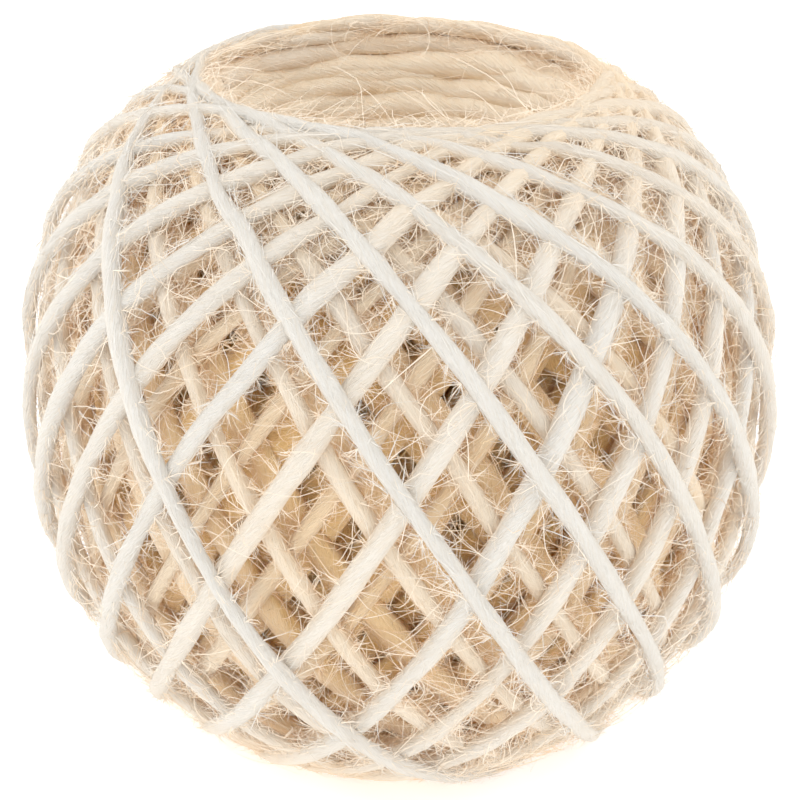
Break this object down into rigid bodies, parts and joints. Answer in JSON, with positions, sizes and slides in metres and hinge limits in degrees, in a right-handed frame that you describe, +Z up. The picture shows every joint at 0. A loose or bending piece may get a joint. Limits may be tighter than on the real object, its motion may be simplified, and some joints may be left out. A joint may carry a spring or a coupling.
{
  "type": "ball of string",
  "caption": "Off-white ball of soft two-ply plant-fibre twine, wound in an open lattice round a wide centre hole, standing on end.",
  "frame": {"origin": "middle of the flat ring that the ball stands on", "axes": "+Z up along the centre hole, which is the axis that the twine is wound round; -Y towards the picture's camera"},
  "size_m": [0.0797, 0.0797, 0.0718],
  "materials": {
    "twine": "matte, hairy plant fibre, bleached off-white"
  },
  "bodies": {
    "root": {"string_ball": "twine"}
  },
  "joints": []
}
